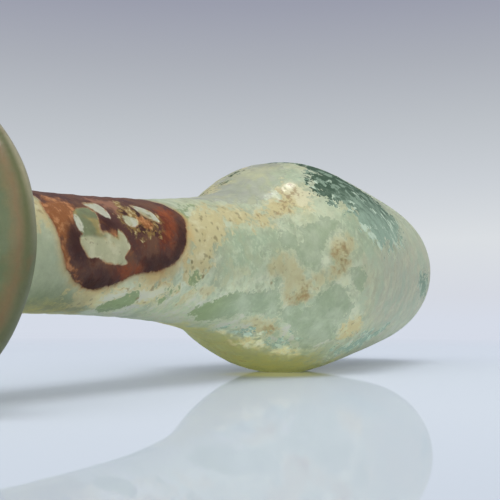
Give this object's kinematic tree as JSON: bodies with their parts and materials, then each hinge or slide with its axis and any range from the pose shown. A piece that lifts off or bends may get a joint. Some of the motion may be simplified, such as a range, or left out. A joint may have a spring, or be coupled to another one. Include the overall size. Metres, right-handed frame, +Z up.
{
  "type": "glass perfume flask",
  "caption": "Small blown glass perfume flask lying on its side: long neck with a folded rim, and a bulb body with a rounded base.",
  "frame": {"origin": "on the flat spot under the belly, where the belly of the lying flask reaches lowest", "axes": "+X along the flask from the mouth to the base, as it lies; +Z up; the mouth faces -X"},
  "size_m": [0.122, 0.0324, 0.0313],
  "materials": {
    "weathered_glass": "pale green glass under flaking cream and brown weathering"
  },
  "bodies": {
    "root": {"flask": "weathered_glass"}
  },
  "joints": []
}
